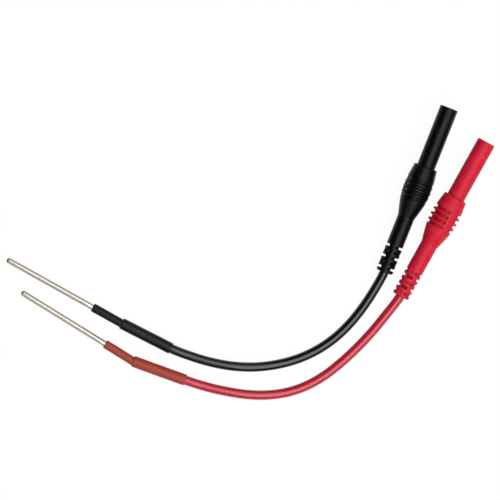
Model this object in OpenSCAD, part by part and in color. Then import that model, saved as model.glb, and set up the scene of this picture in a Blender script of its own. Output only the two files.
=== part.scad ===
// A pair of test leads, one black and one red, lying on a bench.
// Each runs from a round probe pin, through two heat-shrink sleeves and a
// flexible cable, to a moulded handle that carries a shrouded 4 mm plug.

/* [Probe pin] */
// Diameter of the probe pin
pin_d = 2.4; // [2.2:0.1:2.8]
// Length of pin that stands out of its sleeve
pin_out = 38.2; // [20:0.2:50]
// Depth of the solder cup in the back of the pin
cup_depth = 5; // [3:0.5:8]

/* [Heat-shrink sleeves] */
// Wall of the sleeve that covers the back of the pin
pin_sleeve_wall = 0.65; // [0.5:0.05:0.75]
// Length of that sleeve in the open
pin_sleeve_out = 12.6; // [11:0.2:18]
// Length of that sleeve tucked into the cable sleeve
pin_sleeve_tuck = 3; // [2:0.5:5]
// Wall of the sleeve that covers the end of the cable
cable_sleeve_wall = 0.3; // [0.2:0.05:0.5]
// Length of the sleeve on the cable
cable_sleeve_len = 21.6; // [16:0.2:26]

/* [Cable] */
// Outside diameter of the cable
cable_d = 3.7; // [3.2:0.1:4]
// Diameter of the stranded conductor
core_d = 1.3; // [1:0.1:1.4]

/* [Strain relief] */
// Diameter of the rings of the strain relief
relief_d = 6.7; // [6:0.1:7.4]
// Number of rings, and of the slots behind them
ring_count = 5; // [3:2:7]
// Width of one ring
ring_w = 1.2; // [0.8:0.1:1.6]
// Width of one slot
slot_w = 1; // [0.6:0.1:1.4]
// Wall left round the cable under the slots
relief_wall = 0.3; // [0.2:0.05:0.5]
// Width of the webs that cross every other slot in line with the grip's spines
spine_web_w = 1.9; // [1:0.1:2.4]
// Width of the webs that cross the slots between those
side_web_w = 2.3; // [1.6:0.1:4]
// Turn of the side webs away from the spines, in degrees
web_turn = 72; // [60:1:90]

/* [Handle] */
// Diameter of the neck
neck_d = 6.6; // [5.8:0.1:7]
// Length of the neck
neck_len = 11.9; // [8:0.1:18]
// Length of the cone between neck and grip
cone_len = 7.2; // [5:0.1:12]
// Diameter of the cone where the grip starts
cone_d = 10.3; // [9:0.1:10.6]
// Largest diameter of the grip, over its ribs
grip_d = 11.2; // [10.6:0.1:12]
// Number of grooves across the grip
groove_count = 4; // [3:1:5]
// Distance from one groove to the next
groove_pitch = 2.2; // [1.8:0.1:2.6]
// Width of a groove at its floor
groove_floor_w = 0.9; // [0.6:0.1:1.1]
// Width of a groove at the surface
groove_top_w = 1.5; // [1.2:0.1:1.7]
// Diameter across the floors of the grooves
groove_floor_d = 9.1; // [8.6:0.1:9.4]
// Width of the smooth spine that parts the grooves, front and back
spine_w = 2.7; // [2:0.1:4]
// Length of the collar in front of the grooves
collar_len = 5.4; // [4:0.1:8]
// Diameter of the collar at the grooves
collar_back_d = 10.7; // [10:0.1:11]
// Width of the collar's front face round the shroud
collar_rim = 1.1; // [0.8:0.1:1.4]
// Rounding of the collar's front edge
collar_round = 0.4; // [0.2:0.05:0.6]

/* [Shroud] */
// Outside diameter of the shroud
shroud_d = 7.1; // [6.8:0.1:7.4]
// Wall of the shroud
shroud_wall = 0.55; // [0.4:0.05:0.65]
// Length of shroud that stands out of the handle
shroud_out = 24.4; // [22:0.2:30]
// Depth to which the handle holds the shroud
shroud_held = 7.6; // [6.5:0.1:10]
// Thickness of the base inside the shroud
base_t = 6; // [5:0.1:8]

/* [Plug] */
// Diameter of the plug's solid shank
shank_d = 4; // [3.8:0.05:4]
// Diameter over the bowed leaves of the contact spring
spring_d = 4.3; // [4.1:0.05:4.5]
// Length of the contact spring
spring_len = 15; // [10:0.5:16]
// Number of leaves in the contact spring
leaf_count = 8; // [6:1:10]
// Thickness of the spring sheet
leaf_t = 0.15; // [0.1:0.01:0.2]
// Distance from the plug's tip back to the mouth of the shroud
tip_setback = 2; // [1:0.1:4]
// Diameter of the flange behind the shroud's base
flange_d = 5.2; // [4.8:0.1:5.6]
// Outside diameter of the crimp barrel
barrel_d = 3.2; // [2.8:0.1:3.6]
// Length of the crimp barrel
barrel_len = 6.5; // [5:0.5:7]

/* [Hidden] */
$fn = 64;

black = 0;
red = 1;

// Finishes, one value for each lead
plastic = ["#26262a", "#c8233c"];
jacket_colour = ["#1d1d21", "#b81c30"];
shrink_colour = ["#333133", "#a8523f"];
nickel = "#c9c6bd";
solder_grey = "#9a9da0";
copper = "#b87342";
spring_gold = "#c9a14a";

clear = 0.05;      // gap round every piece that sits in another
seat_step = 0.2;   // step in the radius of a pin or tube where it leaves its seat
edge = 0.15;       // small rounding or chamfer on moulded edges
past = 1;          // how far a cut runs on past the face that it opens
leaf_steps = 12;   // straight steps along the bow of a spring leaf
curve_steps = 6;   // steps along a swelling or tapering outline

// Where each lead lies: the end of its cable sleeve and the end of its
// strain relief, with the way each points along the bench.
sleeve_at = [[-30.4, -39.9], [-24.9, -52.1]];
sleeve_turn = [153, 160];
pin_kink = [-2.1, -11.7];
plug_at = [[51.8, -10.3], [58, -19.6]];
plug_turn = [68.5, 60.9];
plug_roll = [55, 30];

// Free stretch of each cable, from its sleeve to its strain relief
cable_route = [
    [
        [-22.3, -43, 1.9], [-14.3, -45.3, 1.9], [-6.2, -46.7, 1.9], [1.8, -47, 1.9],
        [9.9, -46.1, 1.9], [18, -44, 1.9], [25.6, -40.6, 1.9], [32.2, -36.2, 1.9],
        [38.1, -30.7, 1.9], [43.1, -24.6, 2.1], [47.4, -18.2, 2.6]
    ],
    [
        [-17.3, -54.5, 1.9], [-9.2, -56.4, 1.9], [-1.2, -57.6, 1.9], [6.8, -57.8, 1.9],
        [15, -56.6, 1.9], [22.5, -53.9, 1.9], [28.9, -50.2, 1.9], [35.5, -45, 1.9],
        [41.6, -39.3, 1.9], [47.2, -33.3, 2.1], [52.7, -26.6, 2.6]
    ]
];
cable_sides = 8;

// Radii
pin_r = pin_d / 2;
core_r = core_d / 2;
cable_r = cable_d / 2;
relief_r = relief_d / 2;
neck_r = neck_d / 2;
cone_r = cone_d / 2;
grip_r = grip_d / 2;
groove_r = groove_floor_d / 2;
collar_back_r = collar_back_d / 2;
shroud_r = shroud_d / 2;
shroud_seat_r = shroud_r - seat_step;
shroud_bore_r = shroud_r - shroud_wall;
collar_front_r = shroud_r + collar_rim;
shank_r = shank_d / 2;
shank_seat_r = shank_r + seat_step;
barrel_r = barrel_d / 2;
flange_r = flange_d / 2;

// Probe end, measured from the open end of the cable sleeve towards the tip
cup_gap = 1.5;                 // bare core between the sleeve's mouth and the pin
solder_len = 0.6;              // length of the cone of solder on that core
solder_edge = 0.1;             // how far the cone stops short of the pin's edge
cup_r = core_r + clear;
pin_tip_x = pin_sleeve_out + pin_out;
pin_seat_r = pin_r - seat_step;
pin_sleeve_bore_r = pin_seat_r + clear;
pin_sleeve_r = pin_sleeve_bore_r + pin_sleeve_wall;
stub_wall = 0.35;              // wall of the pin sleeve where it has shrunk further
stub_play = 0.2;               // room round the core where the sleeve bends
stub_bore_r = core_r + stub_play;
stub_r = stub_bore_r + stub_wall;
shoulder_t = 0.7;              // shoulder between the stub and the full sleeve
sleeve_bore_r = cable_r + clear;
cable_sleeve_r = max(cable_r, pin_sleeve_r) + clear + cable_sleeve_wall;
jacket_front_x = cable_sleeve_len - pin_sleeve_tuck - clear;

// Handle, measured from the end of the strain relief towards the mouth
neck_x = ring_count * (ring_w + slot_w);
cone_x = neck_x + neck_len;
grip_x = cone_x + cone_len;
grip_len = (groove_count - 1) * groove_pitch + groove_top_w;
collar_x = grip_x + grip_len;
mouth_x = collar_x + collar_len + shroud_out;
relief_core_r = cable_r + clear + relief_wall;

// Shroud and plug, measured the same way
base_x = collar_x + collar_len - shroud_held;
base_front_x = base_x + base_t;
flange_t = 1.5;                // thickness of the flange behind the base
flange_x = base_x - clear - flange_t;
barrel_x = flange_x - barrel_len;
strip_len = 3;                 // bare core between the jacket and the barrel
jacket_back_x = barrel_x - strip_len;
crimp_end = 1;                 // solid end of the barrel, next to the flange
crimp_depth = barrel_len - crimp_end;
tip_x = mouth_x - tip_setback; // tip of the plug, inside the shroud
head_len = 1.6;                // rounded head in front of the contact spring
head_r = shank_r - edge;
spring_x = tip_x - head_len - spring_len;
spigot_step = 0.75;            // step from the shank down to the spring's seat
spigot_r = shank_r - spigot_step;
band_len = 1.4;                // closed band at each end of the spring
leaf_gap = 0.5;                // slot between two leaves
key_setback = 2;               // from the back of the base to the groove that locks it
key_x = base_x + key_setback;
key_w = 1.5;                   // width of that groove
key_depth = 0.45;              // depth of that groove

// The handle lies on the end of its strain relief and on the grip
lift = max([for (x = [grip_x : groove_pitch / 4 : collar_x]) atan((swell_r(x) - relief_r) / x)]);
plug_z = relief_r * cos(lift);
// The pin dips from its sleeve until its tip lies on the bench
dip = asin((cable_sleeve_r - pin_r) / (pin_tip_x - pin_r));

// Radius of the grip along its length: a barrel between cone and collar
function swell_r(x) =
    let (u = (x - grip_x) / grip_len, end_r = u < 0.5 ? cone_r : collar_back_r)
    grip_r - (grip_r - end_r) * pow(2 * u - 1, 2);

// Radius of the cone, u from 0 at the neck to 1 at the grip
function cone_bow_r(u) = neck_r + (cone_r - neck_r) * (1.2 * u - 0.2 * u * u);

// Radius of a spring leaf's outside, u from 0 to 1 along its free length
function leaf_bow_r(u) =
    let (band_r = spigot_r + clear + leaf_t)
    band_r + (spring_d / 2 - band_r) * sin(180 * u);

function unit(v) = v / norm(v);

// Place a point given in the frame of the sleeve, the pin or the handle
function turn_z(p, a) = [p.x * cos(a) - p.y * sin(a), p.x * sin(a) + p.y * cos(a), p.z];
function turn_y(p, a) = [p.x * cos(a) + p.z * sin(a), p.y, p.z * cos(a) - p.x * sin(a)];
function sleeve_point(lead, p) =
    concat(sleeve_at[lead], cable_sleeve_r) + turn_z(p, sleeve_turn[lead]);
function pin_point(lead, p) =
    sleeve_point(lead, [cable_sleeve_len, 0, 0] + turn_z(turn_y(p, dip), pin_kink[lead]));
function plug_point(lead, p) =
    concat(plug_at[lead], plug_z) + turn_z(turn_y(p, -lift), plug_turn[lead]);

// Centre lines of the jacket and of the conductor inside it
function jacket_path(lead) = concat(
    [sleeve_point(lead, [jacket_front_x, 0, 0]), sleeve_point(lead, [0, 0, 0])],
    cable_route[lead],
    [plug_point(lead, [0, 0, 0]), plug_point(lead, [jacket_back_x, 0, 0])]
);
function core_path(lead) = concat(
    [
        pin_point(lead, [cup_gap + cup_depth - clear, 0, 0]),
        pin_point(lead, [0, 0, 0]),
        sleeve_point(lead, [0, 0, 0])
    ],
    cable_route[lead],
    [plug_point(lead, [0, 0, 0]), plug_point(lead, [barrel_x + crimp_depth - clear, 0, 0])]
);

// Direction of a path at one of its points, and a ring of points round it
function path_way(path, i) =
    let (last = len(path) - 1)
    unit((i < last ? unit(path[i + 1] - path[i]) : [0, 0, 0])
        + (i > 0 ? unit(path[i] - path[i - 1]) : [0, 0, 0]));
function ring(centre, way, r, sides) =
    let (side = unit(cross([0, 0, 1], way)), up = cross(way, side))
    [for (k = [0 : sides - 1])
        centre + r * (cos(360 * k / sides) * side + sin(360 * k / sides) * up)];
function sweep_points(path, r, sides) =
    [for (i = [0 : len(path) - 1]) each ring(path[i], path_way(path, i), r, sides)];

// Triangles of a tube's wall, facing out, or in where flip is true
function wall_faces(rings, sides, first, flip) =
    [for (i = [0 : rings - 2], k = [0 : sides - 1])
        let (
            n = (k + 1) % sides,
            a = first + i * sides + k,
            b = first + i * sides + n,
            c = a + sides,
            d = b + sides
        )
        each flip ? [[a, d, c], [a, b, d]] : [[a, c, d], [a, d, b]]];
// Triangles of the flat ring that joins the outer wall to the bore
function end_faces(sides, outer, inner, flip) =
    [for (k = [0 : sides - 1])
        let (n = (k + 1) % sides)
        each flip
            ? [[outer + k, inner + n, outer + n], [outer + k, inner + k, inner + n]]
            : [[outer + k, outer + n, inner + n], [outer + k, inner + n, inner + k]]];

module swept_rod(path, r, sides) {
    last = (len(path) - 1) * sides;
    polyhedron(
        sweep_points(path, r, sides),
        concat(
            wall_faces(len(path), sides, 0, false),
            [[for (k = [0 : sides - 1]) k]],
            [[for (k = [sides - 1 : -1 : 0]) last + k]]
        )
    );
}

module swept_tube(path, r, bore_r, sides) {
    count = len(path);
    inner = count * sides;
    last = (count - 1) * sides;
    polyhedron(
        concat(sweep_points(path, r, sides), sweep_points(path, bore_r, sides)),
        concat(
            wall_faces(count, sides, 0, false),
            wall_faces(count, sides, inner, true),
            end_faces(sides, 0, inner, false),
            end_faces(sides, last, inner + last, true)
        )
    );
}

// A shape turned about X from an outline of [radius, x] points
module turned(outline) rotate([0, 90, 0]) rotate_extrude() polygon(outline);

// A round bar along X
module bar(r, from, to) translate([from, 0, 0]) rotate([0, 90, 0]) cylinder(r = r, h = to - from);

module at_sleeve(lead)
    translate(concat(sleeve_at[lead], cable_sleeve_r)) rotate([0, 0, sleeve_turn[lead]]) children();
module at_pin(lead)
    at_sleeve(lead) translate([cable_sleeve_len, 0, 0]) rotate([0, dip, pin_kink[lead]]) children();
module at_plug(lead)
    translate(concat(plug_at[lead], plug_z)) rotate([0, -lift, plug_turn[lead]])
        rotate([plug_roll[lead], 0, 0]) children();

// Round pin with a ball tip and a solder cup that is open on top
module probe_pin(lead) {
    color(nickel) at_pin(lead) difference() {
        union() {
            bar(pin_seat_r, cup_gap, pin_sleeve_out);
            bar(pin_r, pin_sleeve_out, pin_tip_x - pin_r);
            translate([pin_tip_x - pin_r, 0, 0]) sphere(pin_r);
        }
        bar(cup_r, cup_gap - past, cup_gap + cup_depth);
        translate([cup_gap - past, -pin_r, core_r / 2])
            cube([cup_depth / 2 + past, pin_d, pin_d]);
    }
}

// Cone of solder that closes the cup round the conductor
module solder(lead) {
    color(solder_grey) at_pin(lead) turned([
        [cup_r, cup_gap - solder_len], [cup_r + solder_edge, cup_gap - solder_len],
        [pin_seat_r - solder_edge, cup_gap], [cup_r, cup_gap]
    ]);
}

// Sleeve over the back of the pin; behind the pin it narrows to a stub
// that bends into the cable sleeve
module pin_sleeve(lead) {
    color(shrink_colour[lead]) difference() {
        union() {
            at_pin(lead) turned([
                [0, 0], [pin_sleeve_r, 0], [pin_sleeve_r, pin_sleeve_out - edge],
                [pin_sleeve_r - edge, pin_sleeve_out], [0, pin_sleeve_out]
            ]);
            at_sleeve(lead)
                bar(stub_r, jacket_front_x + clear, cable_sleeve_len + shoulder_t / 2);
        }
        at_pin(lead) bar(pin_sleeve_bore_r, shoulder_t, pin_sleeve_out + past);
        at_sleeve(lead)
            bar(stub_bore_r, jacket_front_x - past, cable_sleeve_len + shoulder_t + stub_wall);
    }
}

// Outer sleeve, stepped inside over the cable, the stub and the pin sleeve
module cable_sleeve(lead) {
    color(shrink_colour[lead]) at_sleeve(lead) difference() {
        turned([
            [0, 0], [cable_sleeve_r - edge, 0], [cable_sleeve_r, edge],
            [cable_sleeve_r, cable_sleeve_len - edge],
            [cable_sleeve_r - edge, cable_sleeve_len], [0, cable_sleeve_len]
        ]);
        bar(sleeve_bore_r, -past, jacket_front_x);
        bar(stub_r + clear, jacket_front_x - past, cable_sleeve_len);
        bar(pin_sleeve_r + clear, cable_sleeve_len - shoulder_t, cable_sleeve_len + past);
    }
}

module cable_jacket(lead) {
    color(jacket_colour[lead])
        swept_tube(jacket_path(lead), cable_r, core_r + clear, cable_sides);
}

module conductor(lead) {
    color(copper) swept_rod(core_path(lead), core_r, cable_sides);
}

// One groove across the grip, stopped at the spines on top and bottom
module grip_groove(x) {
    difference() {
        turned([
            [groove_r, x + (groove_top_w - groove_floor_w) / 2],
            [groove_r, x + (groove_top_w + groove_floor_w) / 2],
            [grip_r, x + groove_top_w], [grip_r + past, x + groove_top_w],
            [grip_r + past, x], [grip_r, x]
        ]);
        translate([x - past, -spine_w / 2, -grip_d])
            cube([groove_top_w + 2 * past, spine_w, 2 * grip_d]);
    }
}

// One slot of the strain relief, stopped at two webs that lie across from each other
module relief_slot(x, turn, web_w) {
    difference() {
        turned([
            [relief_core_r, x], [relief_r + past, x],
            [relief_r + past, x + slot_w], [relief_core_r, x + slot_w]
        ]);
        rotate([turn, 0, 0]) translate([x - past, -web_w / 2, -relief_d])
            cube([slot_w + 2 * past, web_w, 2 * relief_d]);
    }
}

// Outline of the moulding, from the strain relief to the collar
function handle_outline() = concat(
    [
        [0, 0], [relief_r - edge, 0], [relief_r, edge],
        [relief_r, neck_x], [neck_r, neck_x]
    ],
    [for (i = [0 : curve_steps]) [cone_bow_r(i / curve_steps), cone_x + cone_len * i / curve_steps]],
    [for (i = [1 : 2 * curve_steps])
        let (x = grip_x + grip_len * i / (2 * curve_steps)) [swell_r(x), x]],
    [for (a = [0 : 15 : 90])
        [
            collar_front_r - collar_round * (1 - cos(a)),
            collar_x + collar_len - collar_round * (1 - sin(a))
        ]],
    [[0, collar_x + collar_len]]
);

// Space inside the moulding for the cable, the crimp barrel and the shroud
function handle_cavity() = [
    [0, -past], [cable_r + clear, -past], [cable_r + clear, jacket_back_x + clear],
    [barrel_r + clear, jacket_back_x + clear], [barrel_r + clear, flange_x - clear],
    [flange_r + clear, flange_x - clear], [flange_r + clear, base_x - clear],
    [shroud_seat_r + clear, base_x - clear], [shroud_seat_r + clear, key_x + clear],
    [shroud_seat_r + clear - key_depth, key_x + clear],
    [shroud_seat_r + clear - key_depth, key_x + key_w - clear],
    [shroud_seat_r + clear, key_x + key_w - clear],
    [shroud_seat_r + clear, mouth_x], [0, mouth_x]
];

// One soft moulding: strain relief, neck, cone, grooved grip and collar
module handle(lead) {
    color(plastic[lead]) at_plug(lead) difference() {
        turned(handle_outline());
        turned(handle_cavity());
        for (i = [0 : groove_count - 1]) grip_groove(grip_x + i * groove_pitch);
        for (i = [0 : ring_count - 1])
            relief_slot(
                ring_w + i * (ring_w + slot_w),
                i % 2 == 0 ? -web_turn : 0,
                i % 2 == 0 ? side_web_w : spine_web_w
            );
    }
}

// Shroud with the thick base that carries the plug
module shroud(lead) {
    color(plastic[lead]) at_plug(lead) turned([
        [shank_seat_r + clear, base_x], [shroud_seat_r, base_x], [shroud_seat_r, key_x],
        [shroud_seat_r - key_depth, key_x], [shroud_seat_r - key_depth, key_x + key_w],
        [shroud_seat_r, key_x + key_w], [shroud_seat_r, collar_x + collar_len],
        [shroud_r, collar_x + collar_len], [shroud_r, mouth_x - edge],
        [shroud_r - edge, mouth_x], [shroud_bore_r + edge, mouth_x],
        [shroud_bore_r, mouth_x - edge], [shroud_bore_r, base_front_x],
        [shank_seat_r + clear, base_front_x]
    ]);
}

// Turned plug: crimp barrel, flange, shank, thin spigot and rounded head
module plug_pin(lead) {
    color(nickel) at_plug(lead) difference() {
        turned(concat(
            [
                [0, barrel_x], [barrel_r, barrel_x], [barrel_r, flange_x],
                [flange_r, flange_x], [flange_r, flange_x + flange_t],
                [shank_seat_r, flange_x + flange_t], [shank_seat_r, base_front_x],
                [shank_r, base_front_x], [shank_r, spring_x], [spigot_r, spring_x],
                [spigot_r, spring_x + spring_len], [head_r, spring_x + spring_len]
            ],
            [for (a = [0 : 15 : 90])
                [
                    head_r - head_len / 2 * (1 - cos(a)),
                    tip_x - head_len / 2 * (1 - sin(a))
                ]],
            [[0, tip_x]]
        ));
        bar(cup_r, barrel_x - past, barrel_x + crimp_depth);
    }
}

// Lantern spring: a sheet cage of bowed leaves between two closed bands
module contact_spring(lead) {
    from = spring_x + clear;
    to = spring_x + spring_len - clear;
    free = to - from - 2 * band_len;
    bow = [for (i = [0 : leaf_steps])
        let (u = i / leaf_steps) [leaf_bow_r(u), from + band_len + free * u]];
    color(spring_gold) at_plug(lead) difference() {
        turned(concat(
            [[leaf_bow_r(0), from]], bow, [[leaf_bow_r(1), to]],
            [[leaf_bow_r(1) - leaf_t, to]],
            [for (i = [leaf_steps : -1 : 0]) bow[i] - [leaf_t, 0]],
            [[leaf_bow_r(0) - leaf_t, from]]
        ));
        for (k = [0 : leaf_count - 1])
            rotate([360 * k / leaf_count, 0, 0])
                translate([from + band_len, -leaf_gap / 2, 0])
                    cube([free, leaf_gap, spring_d]);
    }
}

probe_pin(black);  // black_probe_pin
solder(black);  // black_solder
pin_sleeve(black);  // black_pin_sleeve
cable_sleeve(black);  // black_cable_sleeve
cable_jacket(black);  // black_cable_jacket
conductor(black);  // black_conductor
handle(black);  // black_handle
shroud(black);  // black_shroud
plug_pin(black);  // black_plug_pin
contact_spring(black);  // black_contact_spring
probe_pin(red);  // red_probe_pin
solder(red);  // red_solder
pin_sleeve(red);  // red_pin_sleeve
cable_sleeve(red);  // red_cable_sleeve
cable_jacket(red);  // red_cable_jacket
conductor(red);  // red_conductor
handle(red);  // red_handle
shroud(red);  // red_shroud
plug_pin(red);  // red_plug_pin
contact_spring(red);  // red_contact_spring
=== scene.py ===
import math

import bmesh
import bpy
from mathutils import Matrix, Vector, noise


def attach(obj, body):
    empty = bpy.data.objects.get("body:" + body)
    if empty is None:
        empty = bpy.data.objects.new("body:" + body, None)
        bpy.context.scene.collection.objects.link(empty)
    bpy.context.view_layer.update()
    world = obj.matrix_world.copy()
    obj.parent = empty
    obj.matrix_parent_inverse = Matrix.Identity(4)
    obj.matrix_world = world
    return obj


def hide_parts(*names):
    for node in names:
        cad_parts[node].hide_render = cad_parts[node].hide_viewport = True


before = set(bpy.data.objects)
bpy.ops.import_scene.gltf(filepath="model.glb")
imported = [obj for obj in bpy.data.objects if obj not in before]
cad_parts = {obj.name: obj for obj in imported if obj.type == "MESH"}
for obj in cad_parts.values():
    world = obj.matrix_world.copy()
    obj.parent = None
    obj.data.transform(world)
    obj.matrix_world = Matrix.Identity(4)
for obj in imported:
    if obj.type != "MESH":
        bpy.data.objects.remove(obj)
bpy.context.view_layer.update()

# Every piece is drawn in millimetres along X, then turned and laid in its place
millimetre = 0.001

# Where each lead lies, and the way its cable runs from sleeve to strain relief
leads = {
    "black": {
        "body": "black_lead",
        "sleeveAt": (-30.4, -39.9),
        "sleeveTurn": 153,
        "pinKink": -2.1,
        "plugAt": (51.8, -10.3),
        "plugTurn": 68.5,
        "plugRoll": 55,
        "route": [
            (-22.3, -43, 1.9), (-14.3, -45.3, 1.9), (-6.2, -46.7, 1.9), (1.8, -47, 1.9),
            (9.9, -46.1, 1.9), (18, -44, 1.9), (25.6, -40.6, 1.9), (32.2, -36.2, 1.9),
            (38.1, -30.7, 1.9), (43.1, -24.6, 2.1), (47.4, -18.2, 2.6),
        ],
    },
    "red": {
        "body": "red_lead",
        "sleeveAt": (-24.9, -52.1),
        "sleeveTurn": 160,
        "pinKink": -11.7,
        "plugAt": (58, -19.6),
        "plugTurn": 60.9,
        "plugRoll": 30,
        "route": [
            (-17.3, -54.5, 1.9), (-9.2, -56.4, 1.9), (-1.2, -57.6, 1.9), (6.8, -57.8, 1.9),
            (15, -56.6, 1.9), (22.5, -53.9, 1.9), (28.9, -50.2, 1.9), (35.5, -45, 1.9),
            (41.6, -39.3, 1.9), (47.2, -33.3, 2.1), (52.7, -26.6, 2.6),
        ],
    },
}


def shift(x, y, z):
    return Matrix.Translation((x, y, z))


def turn(degrees, axis):
    return Matrix.Rotation(math.radians(degrees), 4, axis)


def sleeveFrame(lead):
    return shift(*lead["sleeveAt"], cableSleeve["radius"]) @ turn(lead["sleeveTurn"], "Z")


def pinDip():
    # the pin dips from its sleeve until its tip lies on the bench
    ball = probePin["tip"] - probePin["radius"]
    return math.degrees(math.asin((cableSleeve["radius"] - probePin["radius"]) / ball))


def pinFrame(lead):
    bend = turn(lead["pinKink"], "Z") @ turn(pinDip(), "Y")
    return sleeveFrame(lead) @ shift(cableSleeve["length"], 0, 0) @ bend


def plugLift():
    # the handle lies on the end of its strain relief and on its grip, which tips its front up
    h = handle
    step = h["pitch"] / 4
    count = int((h["collarAt"] - h["gripAt"]) / step) + 1
    rests = [h["gripAt"] + step * i for i in range(count)]
    return max(math.degrees(math.atan((gripSwell(x) - h["reliefRadius"]) / x)) for x in rests)


def plugFrame(lead):
    lift = plugLift()
    height = handle["reliefRadius"] * math.cos(math.radians(lift))
    place = shift(*lead["plugAt"], height) @ turn(lead["plugTurn"], "Z")
    return place @ turn(-lift, "Y") @ turn(lead["plugRoll"], "X")


# Camera high above the pair, looking straight down
cameraSet = {"at": (0.00001, -0.00183, 1.65), "lens": 307.4, "sensor": 36, "near": 0.1}
camera = bpy.data.objects.new("camera", bpy.data.cameras.new("camera"))
camera.location = cameraSet["at"]
camera.data.lens = cameraSet["lens"]
camera.data.sensor_width = cameraSet["sensor"]
camera.data.clip_start = cameraSet["near"]
bpy.context.scene.collection.objects.link(camera)
bpy.context.scene.camera = camera
print("camera set")


# Shader helpers
def newMaterial(name, **sockets):
    material = bpy.data.materials.new(name)
    material.use_nodes = True
    shader = material.node_tree.nodes["Principled BSDF"]
    for socket, value in sockets.items():
        shader.inputs[socket.replace("_", " ")].default_value = value
    return material, material.node_tree, shader


def addNode(tree, kind, values=None, **settings):
    node = tree.nodes.new("ShaderNode" + kind)
    for setting, value in settings.items():
        setattr(node, setting, value)
    for socket, value in (values or {}).items():
        if isinstance(value, bpy.types.NodeSocket):
            tree.links.new(value, node.inputs[socket])
        else:
            node.inputs[socket].default_value = value
    return node


def ownPlace(tree, stretch=(1, 1, 1)):
    # millimetres along the piece's own X, kept on the mesh before it is laid in place
    place = addNode(tree, "Attribute", attribute_name="local").outputs["Vector"]
    return addNode(tree, "Mapping", {"Vector": place, "Scale": stretch}).outputs["Vector"]


def grainOf(tree, place, scale, detail=3.0, roughness=0.6):
    values = {"Vector": place, "Scale": scale, "Detail": detail, "Roughness": roughness}
    return addNode(tree, "TexNoise", values).outputs["Fac"]


def between(tree, value, low, high, fromLow=0.3, fromHigh=0.7):
    values = {"Value": value, "From Min": fromLow, "From Max": fromHigh, "To Min": low, "To Max": high}
    return addNode(tree, "MapRange", values).outputs["Result"]


def blendOf(tree, first, second, share):
    values = {"Factor": share, "A": first, "B": second}
    return addNode(tree, "Mix", values).outputs["Result"]


def rampOf(tree, value, stops):
    ramp = addNode(tree, "ValToRGB", {"Fac": value})
    elements = ramp.color_ramp.elements
    while len(elements) < len(stops):
        elements.new(0.5)
    for element, (position, colour) in zip(elements, stops):
        element.position = position
        element.color = (*colour, 1)
    return ramp.outputs["Color"]


def bumpOf(tree, height, strength, depth, under=None):
    values = {"Height": height, "Strength": strength, "Distance": depth * millimetre}
    if under is not None:
        values["Normal"] = under
    return addNode(tree, "Bump", values).outputs["Normal"]


def dressShader(tree, shader, colour, rough, normal):
    for socket, source in (("Base Color", colour), ("Roughness", rough), ("Normal", normal)):
        tree.links.new(source, shader.inputs[socket])


# Soft moulded plastic with a fine spark-eroded grain, darker with painted shade and duller down in the
# cuts;
# the floors of the relief's slots are as smooth and as bright as the jacket that shows through them
moulding = {
    "black": [
        (0.3, (0.0002, 0.0002, 0.0003)), (0.5, (0.0009, 0.0009, 0.001)), (0.7, (0.0065, 0.0065, 0.007)),
    ],
    "red": [(0.3, (0.465, 0.005, 0.015)), (0.5, (0.605, 0.009, 0.032)), (0.7, (0.76, 0.026, 0.066))],
    "gloss": {"black": 0.16, "red": 0.2},
    "rough": {"black": (0.18, 0.38), "red": (0.34, 0.56)},
    "grainScale": 2.0, "cloudScale": 0.3, "cloudShare": 0.3,
    "bump": 0.5, "depth": {"black": 0.13, "red": 0.06},
    # painted shade: the colour that darkens the skin down in the cuts
    "cutPaintedShade": (0.60, 0.22, 0.22, 1), "cutRough": 0.45,
    "floor": {"black": (0.0006, 0.0006, 0.0007, 1), "red": (0.45, 0.008, 0.022, 1)}, "floorRough": 0.14,
}


def mouldingFinish(name, colour):
    look = moulding
    material, tree, shader = newMaterial(name, Specular_IOR_Level=look["gloss"][colour])
    place = ownPlace(tree)
    grain = grainOf(tree, place, look["grainScale"], detail=4.0, roughness=0.65)
    cloud = grainOf(tree, place, look["cloudScale"], detail=2.0)
    skin = rampOf(tree, blendOf(tree, grain, cloud, look["cloudShare"]), look[colour])
    paintedShadeMask = addNode(tree, "Attribute", attribute_name="paintedShadeMask").outputs["Fac"]
    bare = addNode(tree, "Attribute", attribute_name="bare").outputs["Fac"]
    # sockets 6 and 7 of a mix node are its two colours, output 2 is the colour it gives
    # painted shade: the skin colour is multiplied darker in the cuts, by the painted-shade value that
    # the handle's cuts set on their points
    skinWithPaintedShade = addNode(
        tree, "Mix", {0: paintedShadeMask, 6: skin, 7: look["cutPaintedShade"]}, data_type="RGBA", blend_type="MULTIPLY"
    ).outputs[2]
    bared = addNode(
        tree, "Mix", {0: bare, 6: skinWithPaintedShade, 7: look["floor"][colour]}, data_type="RGBA"
    ).outputs[2]
    rough = blendOf(tree, between(tree, grain, *look["rough"][colour]), look["cutRough"], paintedShadeMask)
    rough = blendOf(tree, rough, look["floorRough"], bare)
    dressShader(tree, shader, bared, rough, bumpOf(tree, grain, look["bump"], look["depth"][colour]))
    return material


# Glossy soft jacket, with a slow waver that breaks its highlights
jacket = {
    "black": [(0.3, (0.0015, 0.0015, 0.0018)), (0.7, (0.003, 0.003, 0.0035))],
    "red": [(0.3, (0.45, 0.010, 0.028)), (0.7, (0.56, 0.014, 0.040))],
    "gloss": {"black": 0.58, "red": 0.62}, "rough": (0.06, 0.11),
    "waveStretch": (0.25, 1, 1), "waveScale": 0.5, "bump": 0.4, "depth": 0.012,
    "scuffStretch": (0.3, 1, 1), "scuffScale": 5.0, "scuffShare": 0.4,
}


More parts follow.
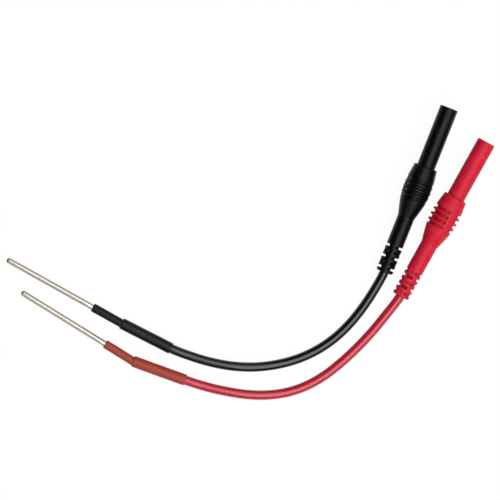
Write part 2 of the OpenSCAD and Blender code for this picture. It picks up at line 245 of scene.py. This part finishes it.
def jacketFinish(name, colour):
    look = jacket
    material, tree, shader = newMaterial(name, Specular_IOR_Level=look["gloss"][colour])
    wave = grainOf(tree, ownPlace(tree, look["waveStretch"]), look["waveScale"], detail=2.0)
    scuff = grainOf(tree, ownPlace(tree, look["scuffStretch"]), look["scuffScale"], detail=4.0)
    dressShader(
        tree, shader,
        rampOf(tree, blendOf(tree, wave, scuff, look["scuffShare"]), look[colour]),
        between(tree, scuff, *look["rough"]),
        bumpOf(tree, wave, look["bump"], look["depth"]),
    )
    return material


# Matt heat-shrink, a little wrinkled where it has drawn in
shrink = {
    "black": [(0.3, (0.0008, 0.0006, 0.0008)), (0.7, (0.0036, 0.0031, 0.0036))],
    "red": [(0.3, (0.315, 0.037, 0.021)), (0.7, (0.43, 0.061, 0.037))],
    "gloss": 0.30, "rough": (0.32, 0.44), "bump": 0.4,
    "wrinkleStretch": (2.2, 0.6, 0.6), "wrinkleScale": 0.7, "wrinkleShare": 0.4, "wrinkleDepth": 0.03,
    "toothScale": 3.2, "toothDepth": 0.012,
}


def shrinkFinish(name, colour):
    look = shrink
    material, tree, shader = newMaterial(name, Specular_IOR_Level=look["gloss"])
    wrinkle = grainOf(tree, ownPlace(tree, look["wrinkleStretch"]), look["wrinkleScale"])
    tooth = grainOf(tree, ownPlace(tree), look["toothScale"])
    drawn = bumpOf(tree, wrinkle, look["bump"], look["wrinkleDepth"])
    dressShader(
        tree, shader,
        rampOf(tree, blendOf(tree, tooth, wrinkle, look["wrinkleShare"]), look[colour]),
        between(tree, tooth, *look["rough"]),
        bumpOf(tree, tooth, look["bump"], look["toothDepth"], drawn),
    )
    return material


# Plated, drawn or turned metal: the lines run along the piece or round it
metals = {
    "nickel": {
        "stops": [(0.3, (0.60, 0.545, 0.475)), (0.7, (0.71, 0.65, 0.58))],
        "rough": (0.18, 0.25), "lines": (0.05, 1.5, 1.5), "scale": 2.0, "depth": 0.0003,
    },
    "spring": {
        "stops": [(0.3, (0.62, 0.44, 0.18)), (0.7, (0.78, 0.60, 0.28))],
        "rough": (0.20, 0.34), "lines": (0.1, 2.0, 2.0), "scale": 2.0, "depth": 0.004,
    },
    "copper": {
        "stops": [(0.3, (0.56, 0.24, 0.12)), (0.7, (0.78, 0.40, 0.22))],
        "rough": (0.26, 0.42), "lines": (0.1, 2.0, 2.0), "scale": 1.5, "depth": 0.004,
    },
}
metalBump = 0.4


def metalFinish(name, look):
    material, tree, shader = newMaterial(name, Metallic=1.0)
    lines = grainOf(tree, ownPlace(tree, look["lines"]), look["scale"], detail=4.0, roughness=0.7)
    dressShader(
        tree, shader,
        rampOf(tree, lines, look["stops"]),
        between(tree, lines, *look["rough"]),
        bumpOf(tree, lines, metalBump, look["depth"]),
    )
    return material


# Dull tin solder, frozen in small ripples
solderLook = {
    "stops": [(0.3, (0.42, 0.43, 0.44)), (0.7, (0.60, 0.61, 0.62))],
    "rough": (0.34, 0.52), "scale": 2500, "bump": 0.5, "depth": 0.03,
}


def solderFinish():
    look = solderLook
    material, tree, shader = newMaterial("tinSolder", Metallic=1.0)
    ripple = grainOf(tree, addNode(tree, "TexCoord").outputs["Object"], look["scale"])
    dressShader(
        tree, shader,
        rampOf(tree, ripple, look["stops"]),
        between(tree, ripple, *look["rough"]),
        bumpOf(tree, ripple, look["bump"], look["depth"]),
    )
    return material


finishes = {metal: metalFinish(metal + "Plate", look) for metal, look in metals.items()}
for colour in leads:
    finishes[colour + "Handle"] = mouldingFinish(colour + "Moulding", colour)
    finishes[colour + "Shroud"] = mouldingFinish(colour + "ShroudPlastic", colour)
    finishes[colour + "Cable"] = jacketFinish(colour + "Jacket", colour)
    finishes[colour + "Shrink"] = shrinkFinish(colour + "HeatShrink", colour)
finishes["solder"] = solderFinish()
print("finishes mixed")


# Mesh helpers
def turned(outline, steps, ring=False):
    # an outline of (x, radius) points spun about X; ring closes the outline into a loop
    bm = bmesh.new()
    points = [bm.verts.new((x, 0, radius)) for x, radius in outline]
    lines = [bm.edges.new(pair) for pair in zip(points, points[1:])]
    if ring:
        lines.append(bm.edges.new((points[-1], points[0])))
    bmesh.ops.spin(
        bm, geom=points + lines, cent=(0, 0, 0), axis=(1, 0, 0),
        angle=math.tau, steps=steps, use_merge=True,
    )
    bmesh.ops.remove_doubles(bm, verts=bm.verts, dist=1e-4)
    bmesh.ops.recalc_face_normals(bm, faces=bm.faces)
    return bm


def soften(bm, width, sharper=30, segments=3, where=None):
    # rounds the edges that turn by more than a given angle
    limit = math.radians(sharper)
    edges = [
        edge for edge in bm.edges
        if edge.calc_face_angle(0) > limit and (where is None or where(edge))
    ]
    bmesh.ops.bevel(
        bm, geom=edges, offset=width, offset_type="OFFSET", segments=segments,
        profile=0.5, affect="EDGES", material=-1, clamp_overlap=True,
    )


def waver(bm, amount, pace, seed):
    # a slow unevenness of the radius, as on a sleeve that was shrunk by hand
    across = 0.3
    for v in bm.verts:
        radius = math.hypot(v.co.y, v.co.z)
        if radius > 0:
            spot = Vector((v.co.x * pace + seed, v.co.y * across, v.co.z * across))
            push = 1 + amount / radius * noise.noise(spot)
            v.co.y *= push
            v.co.z *= push


def keepLocal(bm, length=1):
    # keeps every point's own millimetres for the patterns; length is that of one unit of X
    layer = bm.verts.layers.float_vector.new("local")
    for v in bm.verts:
        v[layer] = (v.co.x * length, v.co.y, v.co.z)


def finishPiece(bm, name, finish, lead, nodes, place=None):
    # lays a drawn piece in its place, in metres, and lets it stand for its CAD nodes
    if not bm.verts.layers.float_vector.get("local"):
        keepLocal(bm)
    openEdges = sum(not edge.is_manifold for edge in bm.edges)
    bm.transform(Matrix.Scale(millimetre, 4) @ (place or Matrix.Identity(4)))
    mesh = bpy.data.meshes.new(name)
    bm.to_mesh(mesh)
    bm.free()
    mesh.shade_smooth()
    mesh.materials.append(finishes[finish])
    piece = bpy.data.objects.new(name, mesh)
    bpy.context.scene.collection.objects.link(piece)
    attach(piece, lead["body"])
    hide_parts(*nodes)
    print(f"{name}: {len(mesh.polygons)} faces, {openEdges} open edges")
    return piece


def weighNormals(piece):
    # flat faces keep flat shading right up to their rounded edges
    weigh = piece.modifiers.new("flatFaces", "WEIGHTED_NORMAL")
    weigh.keep_sharp = True
    weigh.weight = 60


def smoothPath(points, spacing):
    # one smooth line through the points, as evenly spaced points
    knots = [Vector(p) for p in points]
    knots = [2 * knots[0] - knots[1]] + knots + [2 * knots[-1] - knots[-2]]
    fine, parts = [], 40
    for a, b, c, d in zip(knots, knots[1:], knots[2:], knots[3:]):
        before, here, after = (b - a).length, (c - b).length, (d - c).length
        leave = ((b - a) / before * here + (c - b) / here * before) / (before + here)
        arrive = ((c - b) / here * after + (d - c) / after * here) / (here + after)
        for i in range(parts):
            t = i / parts
            fine.append(
                b * (2 * t**3 - 3 * t**2 + 1) + leave * here * (t**3 - 2 * t**2 + t)
                + c * (3 * t**2 - 2 * t**3) + arrive * here * (t**3 - t**2)
            )
    fine.append(knots[-2])
    steps = [(b - a).length for a, b in zip(fine, fine[1:])]
    total = sum(steps)
    count = round(total / spacing)
    even, i, done = [fine[0]], 0, 0.0
    for k in range(1, count):
        goal = total * k / count
        while done + steps[i] < goal:
            done += steps[i]
            i += 1
        even.append(fine[i].lerp(fine[i + 1], (goal - done) / steps[i]))
    return even + [fine[-1]]


def layAlong(bm, path):
    # bends a straight piece, drawn from x = 0 to 1 for the whole path, along that path
    ways = [(b - a).normalized() for a, b in zip(path, path[1:])]
    ways = [ways[0]] + [(a + b).normalized() for a, b in zip(ways, ways[1:])] + [ways[-1]]
    last = len(path) - 2
    for v in bm.verts:
        at = v.co.x * (len(path) - 1)
        i = max(0, min(int(at), last))
        centre = path[i].lerp(path[i + 1], at - i)
        way = ways[i].lerp(ways[i + 1], at - i).normalized()
        side = Vector((0, 0, 1)).cross(way).normalized()
        v.co = centre + side * v.co.y + way.cross(side) * v.co.z


def quarter(rows):
    # the sine and cosine of even steps through a quarter turn
    angles = [math.pi / 2 * i / rows for i in range(rows + 1)]
    return [(math.sin(angle), math.cos(angle)) for angle in angles]


def pathLength(path):
    return sum((b - a).length for a, b in zip(path, path[1:]))


# Cable: the jacket runs from inside the outer sleeve to inside the handle
cable = {
    "radius": 1.85, "bore": 0.7, "sides": 40, "spacing": 0.7,
    "front": 18.55,  # where it ends in the sleeve
    "back": 24.95,   # where it ends in the handle
    "shares": (0, 0.33, 0.66, 1),  # points of the route in either straight end
}
cableSleeve = {
    "length": 21.6, "radius": 2.2, "cableBore": 1.9, "stubBore": 1.3, "pinBore": 1.75,
    "shoulder": 0.7, "lip": 0.32, "rows": 24, "sides": 64,
    "soft": 0.08, "uneven": 0.05, "pace": 0.22, "seed": {"black": 11, "red": 3},
}
strands = {
    "radius": 0.215, "sides": 6, "wound": 6, "layLength": 16, "stepsPerTurn": 20,
    "cupEnd": 6.45, "barrelEnd": 33.4,
}


def cableRoute(lead, front, back, probe=()):
    sleeve, plug = sleeveFrame(lead), plugFrame(lead)
    begin = [sleeve @ Vector((front * share, 0, 0)) for share in reversed(cable["shares"])]
    end = [plug @ Vector((back * share, 0, 0)) for share in cable["shares"]]
    return list(probe) + begin + [Vector(p) for p in lead["route"]] + end


def makeCable(colour, lead):
    path = smoothPath(cableRoute(lead, cable["front"], cable["back"]), cable["spacing"])
    rows = [i / (len(path) - 1) for i in range(len(path))]
    outline = [(x, cable["radius"]) for x in rows] + [(x, cable["bore"]) for x in reversed(rows)]
    bm = turned(outline, cable["sides"], ring=True)
    length = pathLength(path)
    keepLocal(bm, length)
    layAlong(bm, path)
    piece = finishPiece(
        bm, colour + "Cable", colour + "Cable", lead, [colour + "_cable_jacket"]
    )
    return piece, path, length


def makeStrands(colour, lead):
    pin = pinFrame(lead)
    probe = [pin @ Vector((strands["cupEnd"] * share, 0, 0)) for share in (1, 0.5)]
    route = cableRoute(lead, cableSleeve["length"], strands["barrelEnd"], probe)
    path = smoothPath(route, cable["spacing"])
    length = pathLength(path)
    turns = length / strands["layLength"]
    steps = round(turns * strands["stepsPerTurn"])
    bm = bmesh.new()
    for k in range(strands["wound"] + 1):
        # six strands wound round a straight one
        out = 0 if k == strands["wound"] else 2 * strands["radius"]
        stand = turn(360 / strands["wound"] * k, "X") @ shift(0, 0, out) @ turn(90, "Y")
        ring = bmesh.ops.create_circle(
            bm, segments=strands["sides"], radius=strands["radius"], matrix=stand
        )["verts"]
        lines = list({edge for v in ring for edge in v.link_edges})
        bmesh.ops.spin(
            bm, geom=ring + lines, cent=(0, 0, 0), axis=(1, 0, 0), angle=math.tau * turns,
            dvec=(1 / steps, 0, 0), steps=steps,
        )
    bmesh.ops.holes_fill(bm, edges=[edge for edge in bm.edges if edge.is_boundary], sides=0)
    bmesh.ops.recalc_face_normals(bm, faces=bm.faces)
    keepLocal(bm, length)
    layAlong(bm, path)
    return finishPiece(bm, colour + "Strands", "copper", lead, [colour + "_conductor"])


# Heat-shrink over the end of the cable, with a soft chamfer at each mouth
def makeCableSleeve(colour, lead):
    s = cableSleeve
    rows = [s["lip"] + (s["length"] - 2 * s["lip"]) * i / s["rows"] for i in range(s["rows"] + 1)]
    outline = [(0, s["cableBore"]), (0, s["radius"] - s["lip"] / 2)]
    outline += [(x, s["radius"]) for x in rows]
    outline += [
        (s["length"], s["radius"] - s["lip"]),
        (s["length"], s["pinBore"]), (s["length"] - s["shoulder"], s["pinBore"]),
        (s["length"] - s["shoulder"], s["stubBore"]), (cable["front"], s["stubBore"]),
        (cable["front"], s["cableBore"]),
    ]
    bm = turned(outline, s["sides"], ring=True)
    soften(bm, s["soft"], sharper=25)
    waver(bm, s["uneven"], s["pace"], s["seed"][colour])
    piece = finishPiece(
        bm, colour + "CableSleeve", colour + "Shrink", lead,
        [colour + "_cable_sleeve"], sleeveFrame(lead),
    )
    weighNormals(piece)


# Heat-shrink over the back of the pin; it bends where it leaves the outer sleeve
pinSleeve = {
    "out": 12.6, "radius": 1.7, "bore": 1.05, "lip": 0.18, "bend": 1.2,
    "stub": [(-3.0, 0.85), (-3.0, 1.25), (-0.9, 1.25), (-0.55, 1.37), (-0.3, 1.64)],
    "stubInside": [(0.9, 0.85), (0, 0.85), (-1, 0.85)],
    "rowsFrom": -0.1, "rows": 20, "sides": 64,
    "soft": 0.06, "softFrom": 5, "uneven": 0.04, "pace": 0.25, "seed": {"black": 19, "red": 7},
}


def makePinSleeve(colour, lead):
    s = pinSleeve
    long = s["out"] - s["lip"] - s["rowsFrom"]
    outline = list(s["stub"])
    outline += [(s["rowsFrom"] + long * i / s["rows"], s["radius"]) for i in range(s["rows"] + 1)]
    outline += [(s["out"], s["radius"] - s["lip"]), (s["out"], s["bore"]), (s["bend"], s["bore"])]
    bm = turned(outline + s["stubInside"], s["sides"], ring=True)
    soften(bm, s["soft"], sharper=25, where=lambda edge: edge.verts[0].co.x > s["softFrom"])
    waver(bm, s["uneven"], s["pace"], s["seed"][colour])
    keepLocal(bm)
    kink, dip = lead["pinKink"], pinDip()
    for v in bm.verts:
        share = min(max((v.co.x + s["bend"]) / (2 * s["bend"]), 0), 1)
        share = share * share * (3 - 2 * share)
        v.co = turn(kink * share, "Z") @ turn(dip * share, "Y") @ v.co
    place = sleeveFrame(lead) @ shift(cableSleeve["length"], 0, 0)
    piece = finishPiece(
        bm, colour + "PinSleeve", colour + "Shrink", lead,
        [colour + "_pin_sleeve"], place,
    )
    weighNormals(piece)


# Plated pin: a narrow seat with a solder cup, then the bare pin and its ball tip
probePin = {
    "radius": 1.2, "seatRadius": 1.0, "cupRadius": 0.7, "cupFrom": 1.5, "cupTo": 6.5,
    "seatEnd": 12.6, "tip": 50.8, "rows": 12, "tipRows": 14, "sides": 64, "soft": 0.05,
}


def makePin(colour, lead):
    p = probePin
    outline = [(p["cupTo"], 0), (p["cupTo"], p["cupRadius"]), (p["cupFrom"], p["cupRadius"])]
    outline += [(p["cupFrom"], p["seatRadius"]), (p["seatEnd"], p["seatRadius"])]
    ball = p["tip"] - p["radius"]
    outline += [
        (p["seatEnd"] + (ball - p["seatEnd"]) * i / p["rows"], p["radius"]) for i in range(p["rows"])
    ]
    outline += [
        (ball + p["radius"] * sine, p["radius"] * cosine) for sine, cosine in quarter(p["tipRows"])[:-1]
    ]
    bm = turned(outline + [(p["tip"], 0)], p["sides"])
    soften(bm, p["soft"], sharper=40, segments=2)
    piece = finishPiece(
        bm, colour + "Pin", "nickel", lead, [colour + "_probe_pin"], pinFrame(lead)
    )
    weighNormals(piece)


# Handle: one moulding of strain relief, neck, cone, grooved grip and collar
handle = {
    "sides": 120, "front": 43.6,
    # strain relief
    "reliefRadius": 3.35, "ringWidth": 1.2, "slotWidth": 1.0, "slots": 5, "slotFloor": 1.96,
    "sideWeb": 2.3, "sideTurn": 72, "spineWeb": 1.9, "endRound": 0.5, "endRows": 6,
    # the next line includes how strongly painted shade darkens the slots
    "slotPaintedShade": 1.0, "slotSoft": 0.18, "reliefInside": 1.95,
    # neck and cone
    "neckRadius": 3.3, "neckAt": 11.0, "neckRows": (0.2, 0.4, 0.6, 0.8, 0.99, 1),
    "coneRadius": 5.15, "coneAt": 22.9, "coneBow": 0.2, "coneEdge": 0.016, "coneRows": 14,
    # grip
    "gripRadius": 5.6, "gripAt": 30.1, "grooves": 4, "pitch": 2.2, "grooveTop": 1.5, "grooveFloor": 0.9,
    "grooveRadius": 4.55, "spine": 2.7, "gripTwist": {"black": -3, "red": 3}, "rowGap": 0.3,
    # the next line includes how strongly painted shade darkens the grooves
    "groovePaintedShade": 0.7, "grooveSoft": 0.14, "gripInside": 4.0,
    # collar
    "collarAt": 38.2, "collarBack": 5.35, "collarFront": 4.65, "collarRound": 0.4, "collarRows": 5,
    # hollow for the shroud, the plug's flange and barrel, and the cable
    "cavity": [
        (43.6, 3.4), (39.45, 3.4), (39.45, 2.95), (38.05, 2.95), (38.05, 3.4), (35.95, 3.4),
        (35.95, 2.65), (34.4, 2.65), (34.4, 1.65), (25.0, 1.65), (25.0, 1.9), (0, 1.9),
    ],
}
near = 1e-3  # two places closer than this are the same row


def gripSwell(x):
    h = handle
    u = (x - h["gripAt"]) / (h["collarAt"] - h["gripAt"])
    end = h["coneRadius"] if u < 0.5 else h["collarBack"]
    return h["gripRadius"] - (h["gripRadius"] - end) * (2 * u - 1) ** 2


def handleCuts(colour):
    # each cut: its two rows at the surface and at the floor, floor radius, web width and turn,
    # painted shade for its floor, and whether the jacket shows through its floor
    h = handle
    cuts = []
    for i in range(h["slots"]):
        x = h["ringWidth"] + i * (h["ringWidth"] + h["slotWidth"])
        rows = (x, x + h["slotWidth"])
        web = (h["spineWeb"], 0) if i % 2 else (h["sideWeb"], math.radians(h["sideTurn"]))
        cuts.append((*rows, *rows, h["slotFloor"], *web, h["slotPaintedShade"], 1))
    slant = (h["grooveTop"] - h["grooveFloor"]) / 2
    steep = slant / (h["gripRadius"] - h["grooveRadius"])
    twist = math.radians(h["gripTwist"][colour])
    for i in range(h["grooves"]):
        x = h["gripAt"] + i * h["pitch"]
        first = x + steep * (h["gripRadius"] - gripSwell(x))
        last = x + h["grooveTop"] - steep * (h["gripRadius"] - gripSwell(x + h["grooveTop"]))
        floor = (x + slant, x + slant + h["grooveFloor"])
        cuts.append((first, last, *floor, h["grooveRadius"], h["spine"], twist, h["groovePaintedShade"], 0))
    return cuts


def handleOutline(cuts):
    h = handle
    outline = [
        (h["endRound"] * (1 - sine), h["reliefRadius"] - h["endRound"] * (1 - cosine))
        for sine, cosine in reversed(quarter(h["endRows"]))
    ]
    for first, last, *_ in cuts[: h["slots"]]:
        outline += [(first, h["reliefRadius"]), (last, h["reliefRadius"])]
    outline[-1] = (h["neckAt"], h["neckRadius"])
    neck = h["coneAt"] - h["neckAt"]
    outline += [(h["neckAt"] + neck * share, h["neckRadius"]) for share in h["neckRows"]]
    rise, run, bow = h["coneRadius"] - h["neckRadius"], h["gripAt"] - h["coneAt"], h["coneBow"]
    outline += [
        (h["coneAt"] + run * u, h["neckRadius"] + rise * ((1 + bow) * u - bow * u * u))
        for u in [h["coneEdge"]] + [i / h["coneRows"] for i in range(1, h["coneRows"] + 1)]
    ]
    for first, last, *_ in cuts[h["slots"]:]:
        ahead = outline[-1][0]
        if first - ahead > h["rowGap"]:
            outline += [(x, gripSwell(x)) for x in (ahead + (first - ahead) / 3 * i for i in (1, 2))]
        outline += [(first, gripSwell(first)), (last, gripSwell(last))]
    outline.append((h["collarAt"], h["collarBack"]))
    long = h["front"] - h["collarRound"] - h["collarAt"]
    fall = h["collarBack"] - h["collarFront"]
    shares = [i / h["collarRows"] for i in range(1, h["collarRows"] + 1)]
    outline += [(h["collarAt"] + long * share, h["collarBack"] - fall * share) for share in shares]
    outline += [
        (h["front"] - h["collarRound"] * (1 - sine), h["collarFront"] - h["collarRound"] * (1 - cosine))
        for sine, cosine in quarter(h["collarRows"])[1:]
    ]
    return outline


def acrossUp(place, webTurn):
    # how far a place lies across and along the line from the axis through the middle of a web
    sine, cosine = math.sin(webTurn), math.cos(webTurn)
    return place.y * cosine - place.z * sine, place.y * sine + place.z * cosine


def aroundFrom(v, webTurn):
    # how far a point stands round from the middle of its web, 0 to 90 degrees, and its side of it
    across, up = acrossUp(v.co, webTurn)
    return math.atan2(abs(across), abs(up)), math.copysign(1, across), math.copysign(1, up)


def putAround(v, angle, radius, signs, webTurn):
    across, up = signs[0] * radius * math.sin(angle), signs[1] * radius * math.cos(angle)
    sine, cosine = math.sin(webTurn), math.cos(webTurn)
    v.co.y, v.co.z = across * cosine + up * sine, up * cosine - across * sine


def sinkCut(bm, cut):
    # pushes the wall between two rows in to a floor, and leaves a web on either side
    first, last, floorFirst, floorLast, floorRadius, web, webTurn, paintedShadeAmount, bareness = cut
    paintedShadeMask, bare = bm.verts.layers.float["paintedShadeMask"], bm.faces.layers.float["bare"]
    half, step, right = web / 2, math.pi / handle["sides"], math.pi / 2
    # the nearest column of points is moved onto each side of a web
    for v in bm.verts:
        radius = v.co.yz.length
        if radius > floorRadius + near and min(abs(v.co.x - first), abs(v.co.x - last)) < near:
            angle, *signs = aroundFrom(v, webTurn)
            edge = math.asin(half / radius)
            if abs(angle - edge) < step:
                putAround(v, edge, radius, signs, webTurn)
    wall = []
    for face in bm.faces:
        centre = face.calc_center_median()
        if (
            first - near < centre.x < last + near and abs(acrossUp(centre, webTurn)[0]) > half
            and centre.yz.length > floorRadius
            and all(first - near < v.co.x < last + near for v in face.verts)
        ):
            wall.append(face)
    pushed = bmesh.ops.extrude_face_region(bm, geom=wall)["geom"]
    bmesh.ops.delete(bm, geom=wall, context="FACES")
    for face in (item for item in pushed if isinstance(item, bmesh.types.BMFace)):
        face[bare] = bareness
    for v in (item for item in pushed if isinstance(item, bmesh.types.BMVert)):
        radius = v.co.yz.length
        angle, *signs = aroundFrom(v, webTurn)
        top, low = math.asin(half / radius), math.asin(half / floorRadius)
        angle = right - (right - angle) * (right - low) / (right - top)
        v.co.x = floorFirst if abs(v.co.x - first) < near else floorLast
        # the floor's points carry the painted shade that darkens the cut's colour
        v[paintedShadeMask] = paintedShadeAmount
        putAround(v, angle, floorRadius, signs, webTurn)


def edgesIn(first, last, inside):
    # picks the edges between two places along the handle that lie outside a radius
    def picked(edge):
        a, b = edge.verts
        reach = first < min(a.co.x, b.co.x) and max(a.co.x, b.co.x) < last + 10 * near
        return reach and (a.co.yz.length + b.co.yz.length) / 2 > inside
    return picked


def makeHandle(colour, lead):
    h = handle
    cuts = handleCuts(colour)
    outline = handleOutline(cuts) + h["cavity"]
    bm = turned(outline, h["sides"], ring=True)
    # the painted shade in the cuts is kept on the points
    bm.verts.layers.float.new("paintedShadeMask")
    bm.faces.layers.float.new("bare")
    for cut in cuts:
        sinkCut(bm, cut)
    bmesh.ops.remove_doubles(bm, verts=bm.verts, dist=1e-4)
    bmesh.ops.recalc_face_normals(bm, faces=bm.faces)
    onRelief = edgesIn(-1, h["neckAt"], h["reliefInside"])
    onGrip = edgesIn(h["gripAt"], h["collarAt"], h["gripInside"])
    soften(bm, h["slotSoft"], sharper=35, where=onRelief)
    soften(bm, h["grooveSoft"], sharper=35, where=onGrip)
    piece = finishPiece(
        bm, colour + "Handle", colour + "Handle", lead,
        [colour + "_handle"], plugFrame(lead),
    )
    weighNormals(piece)


# Shroud: a long plain tube on a thick base
shroud = {
    "outline": [
        (36.0, 2.25), (36.0, 3.35), (38.0, 3.35), (38.0, 2.9), (39.5, 2.9), (39.5, 3.35), (43.6, 3.35),
        (43.6, 3.55), (50, 3.55), (56, 3.55), (62, 3.55), (68.0, 3.55), (68.0, 3.0), (60, 3.0),
        (51, 3.0), (42.0, 3.0), (42.0, 2.25),
    ],
    "soft": 0.14, "softFrom": 67.8, "sides": 120,
}


def makeShroud(colour, lead):
    s = shroud
    bm = turned(s["outline"], s["sides"], ring=True)
    soften(bm, s["soft"], sharper=40, where=lambda edge: edge.verts[0].co.x > s["softFrom"])
    piece = finishPiece(
        bm, colour + "Shroud", colour + "Shroud", lead,
        [colour + "_shroud"], plugFrame(lead),
    )
    weighNormals(piece)


# Plug: crimp barrel, flange, shank, thin spigot and rounded head
plug = {
    "outline": [
        (33.45, 0), (33.45, 0.7), (27.95, 0.7), (27.95, 1.6), (34.45, 1.6), (34.45, 2.6), (35.95, 2.6),
        (35.95, 2.2), (42.0, 2.2), (42.0, 2.0), (49.4, 2.0), (49.4, 1.25), (64.4, 1.25), (64.4, 1.85),
        (65.2, 1.85),
    ],
    "domeFrom": 65.2, "domeRound": 0.8, "domeRows": 8, "faceRadius": 1.05, "tip": 66.0,
    "sides": 64, "soft": 0.07,
}


def makePlug(colour, lead):
    p = plug
    dome = [
        (p["domeFrom"] + p["domeRound"] * sine, p["faceRadius"] + p["domeRound"] * cosine)
        for sine, cosine in quarter(p["domeRows"])[1:]
    ]
    bm = turned(p["outline"] + dome + [(p["tip"], 0)], p["sides"])
    soften(bm, p["soft"], sharper=40, segments=2)
    piece = finishPiece(
        bm, colour + "Plug", "nickel", lead, [colour + "_plug_pin"], plugFrame(lead)
    )
    weighNormals(piece)


# Lantern spring: bowed leaves between two closed bands
lantern = {
    "from": 49.45, "to": 64.35, "band": 1.4, "bandRadius": 1.45, "bow": 0.7, "thick": 0.15,
    "leaves": 8, "leafSteps": 9, "slotSteps": 3, "rows": 18, "soft": 0.03,
}


def makeLantern(colour, lead):
    s = lantern
    free = s["to"] - s["from"] - 2 * s["band"]
    outline = [(s["from"], s["bandRadius"]), (s["from"] + s["band"] / 2, s["bandRadius"])]
    outline += [
        (s["from"] + s["band"] + free * u, s["bandRadius"] + s["bow"] * math.sin(math.pi * u))
        for u in (i / s["rows"] for i in range(s["rows"] + 1))
    ]
    outline += [(s["to"] - s["band"] / 2, s["bandRadius"]), (s["to"], s["bandRadius"])]
    steps = s["leaves"] * s["leafSteps"]
    bm = turned(outline, steps)
    slots = []
    for face in bm.faces:
        centre = face.calc_center_median()
        inFree = s["from"] + s["band"] < centre.x < s["to"] - s["band"]
        step = int((math.degrees(math.atan2(centre.z, centre.y)) % 360) / (360 / steps))
        if inFree and step % s["leafSteps"] < s["slotSteps"]:
            slots.append(face)
    bmesh.ops.delete(bm, geom=slots, context="FACES")
    if sum(face.normal.dot(face.calc_center_median() * Vector((0, 1, 1))) for face in bm.faces) < 0:
        bmesh.ops.reverse_faces(bm, faces=bm.faces)
    bmesh.ops.solidify(bm, geom=bm.faces[:], thickness=s["thick"])
    bmesh.ops.recalc_face_normals(bm, faces=bm.faces)
    soften(bm, s["soft"], sharper=50, segments=2)
    piece = finishPiece(
        bm, colour + "Lantern", "spring", lead,
        [colour + "_contact_spring"], plugFrame(lead),
    )
    weighNormals(piece)


for colour, lead in leads.items():
    jacketPiece, path, length = makeCable(colour, lead)
    wires = makeStrands(colour, lead)
    print(f"{colour} cable laid, {length:.1f} mm")

for colour, lead in leads.items():
    makeCableSleeve(colour, lead)
    makePinSleeve(colour, lead)
    makePin(colour, lead)
    makeHandle(colour, lead)
    makeShroud(colour, lead)
    makePlug(colour, lead)
    makeLantern(colour, lead)
    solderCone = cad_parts[colour + "_solder"]
    solderCone.data.materials.clear()
    solderCone.data.materials.append(finishes["solder"])
    print(f"{colour} lead built")


# Bench: white to the camera and in every reflection, and it keeps a faint shadow
bench = {"size": 16.0, "albedo": 0.5, "rough": 0.9, "whiteShare": 0.88, "strength": 1.07}
bm = bmesh.new()
bmesh.ops.create_grid(bm, x_segments=1, y_segments=1, size=bench["size"] / 2)
floorMesh = bpy.data.meshes.new("benchTop")
bm.to_mesh(floorMesh)
bm.free()
floor = bpy.data.objects.new("benchTop", floorMesh)
bpy.context.scene.collection.objects.link(floor)
floorMaterial, tree, shader = newMaterial(
    "benchWhite", Base_Color=(bench["albedo"],) * 3 + (1,),
    Roughness=bench["rough"], Specular_IOR_Level=0.0,
)
rays = addNode(tree, "LightPath").outputs
seen = rays["Is Camera Ray"]
for kind in ("Is Glossy Ray", "Is Transmission Ray"):
    seen = addNode(tree, "Math", {0: seen, 1: rays[kind]}, operation="MAXIMUM").outputs[0]
share = addNode(tree, "Math", {0: seen, 1: bench["whiteShare"]}, operation="MULTIPLY").outputs[0]
glow = addNode(tree, "Emission", {"Color": (1, 1, 1, 1), "Strength": bench["strength"]})
mixed = addNode(tree, "MixShader", {0: share, 1: shader.outputs["BSDF"], 2: glow.outputs["Emission"]})
tree.links.new(mixed.outputs["Shader"], tree.nodes["Material Output"].inputs["Surface"])
floorMesh.materials.append(floorMaterial)

# Soft boxes that face straight down, the bright ones to the right of the object, and a dim room
lamps = {
    "keyBox": {"at": (0.64, -0.65, 1.8), "size": (1.6, 2.1), "power": 24.8},
    "wideBox": {"at": (1.61, -0.78, 1.85), "size": (3.64, 4.56), "power": 48},
    "northBox": {"at": (0.9, 1.6, 1.8), "size": (2.16, 2.9), "power": 10.5},
    "westBox": {"at": (-1.25, -1.62, 1.8), "size": (1.95, 2.2), "power": 11.5},
}
room = {"colour": (1.0, 0.99, 0.98, 1), "strength": 0.08}
for name, lamp in lamps.items():
    light = bpy.data.lights.new(name, "AREA")
    light.shape = "RECTANGLE"
    light.size, light.size_y = lamp["size"]
    light.energy = lamp["power"]
    stand = bpy.data.objects.new(name, light)
    stand.location = lamp["at"]
    bpy.context.scene.collection.objects.link(stand)

world = bpy.data.worlds.new("room")
world.use_nodes = True
backdrop = world.node_tree.nodes["Background"]
backdrop.inputs["Color"].default_value = room["colour"]
backdrop.inputs["Strength"].default_value = room["strength"]
bpy.context.scene.world = world
bpy.context.scene.view_settings.view_transform = "Standard"
print("bench and lamps set")
